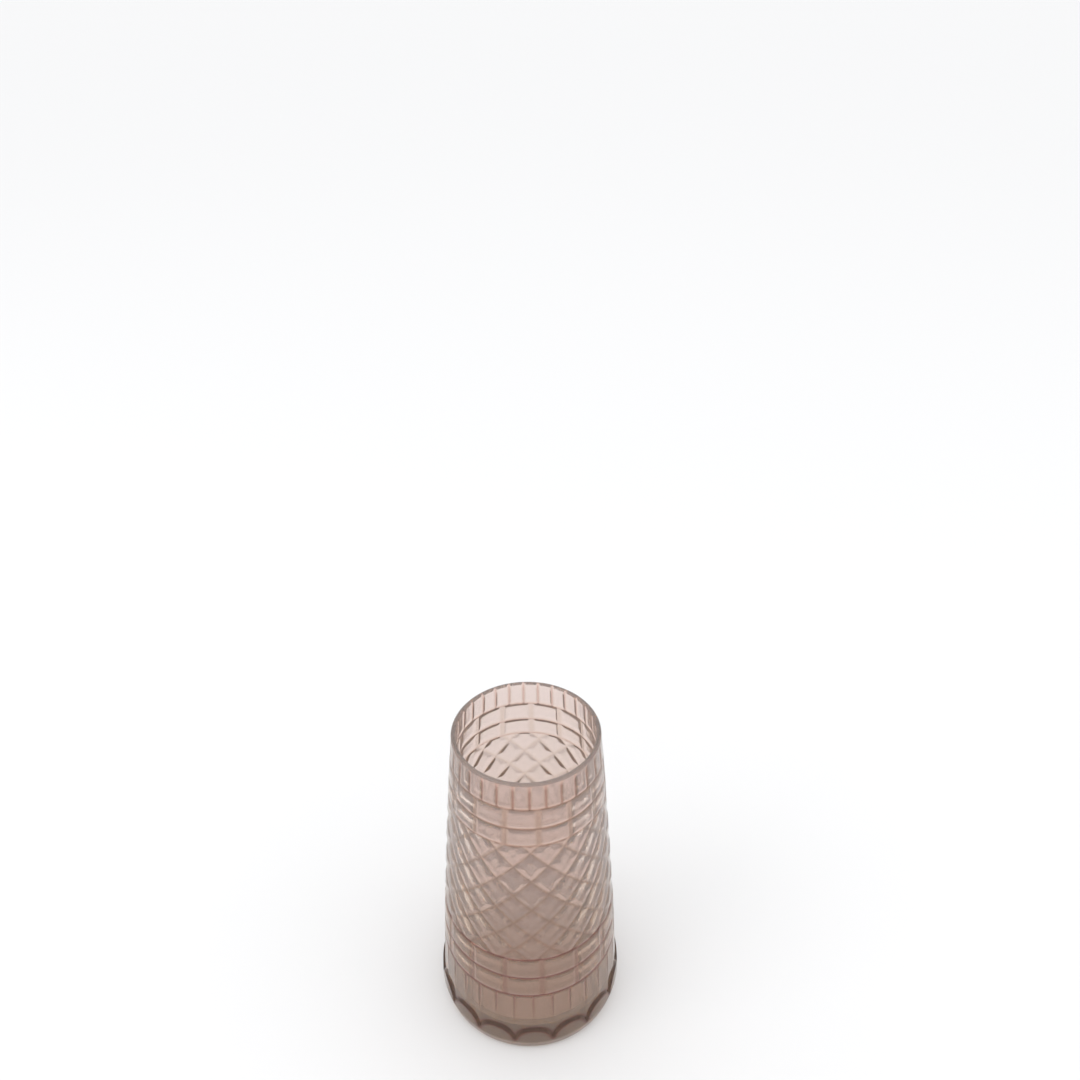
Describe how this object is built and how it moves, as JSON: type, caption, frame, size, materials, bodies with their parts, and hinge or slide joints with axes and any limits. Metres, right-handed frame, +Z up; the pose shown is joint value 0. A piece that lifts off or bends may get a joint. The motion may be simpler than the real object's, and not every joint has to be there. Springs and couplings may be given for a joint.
{
  "type": "flower vase",
  "caption": "Tall tapered vase in tinted pressed glass, with brick, diamond and flute relief, a petal foot and a smooth round mouth.",
  "frame": {"origin": "on the vase's axis, in the plane of the flat ring that it stands on", "axes": "+Z up along the vase's axis, from the foot to the mouth; -Y towards the viewer"},
  "size_m": [0.1081, 0.1082, 0.2],
  "materials": {
    "pink_glass": "clear glass with a pale dusty pink tint, fire-polished and glossy, with pressed relief"
  },
  "bodies": {
    "root": {"glass_body": "pink_glass"}
  },
  "joints": []
}
